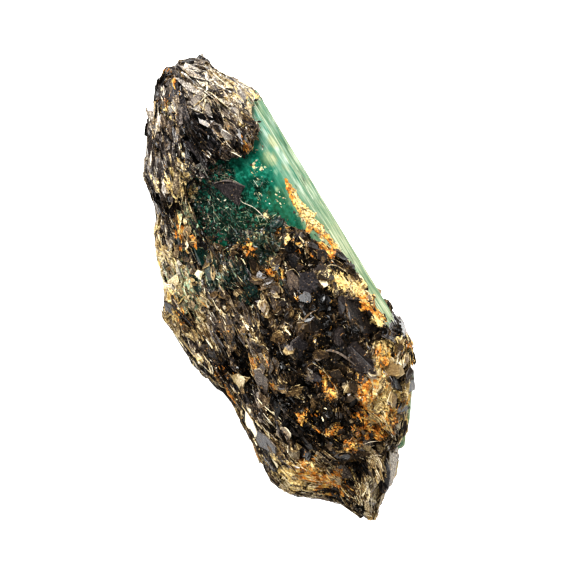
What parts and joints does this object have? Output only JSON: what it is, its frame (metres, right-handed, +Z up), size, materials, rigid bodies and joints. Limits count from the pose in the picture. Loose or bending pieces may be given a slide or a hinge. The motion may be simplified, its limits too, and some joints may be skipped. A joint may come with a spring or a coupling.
{
  "type": "emerald crystal in mica schist",
  "caption": "Long six-sided green emerald crystal, half wrapped in dark splintery mica schist, lying on its back on a flat broken face.",
  "frame": {"origin": "on the resting face, under the middle of the specimen", "axes": "+Y along the crystal's long axis towards its capped end, +X towards its bare flank, +Z up out of the face that shows the green window"},
  "size_m": [0.0253, 0.063, 0.022],
  "materials": {
    "emerald": "clear to milky green crystal, glossy on its faces",
    "mica_schist": "black and brown flaky mica with rust, tan and cream stains"
  },
  "bodies": {
    "root": {"emerald_crystal": "emerald", "mica_schist": "mica_schist"}
  },
  "joints": []
}
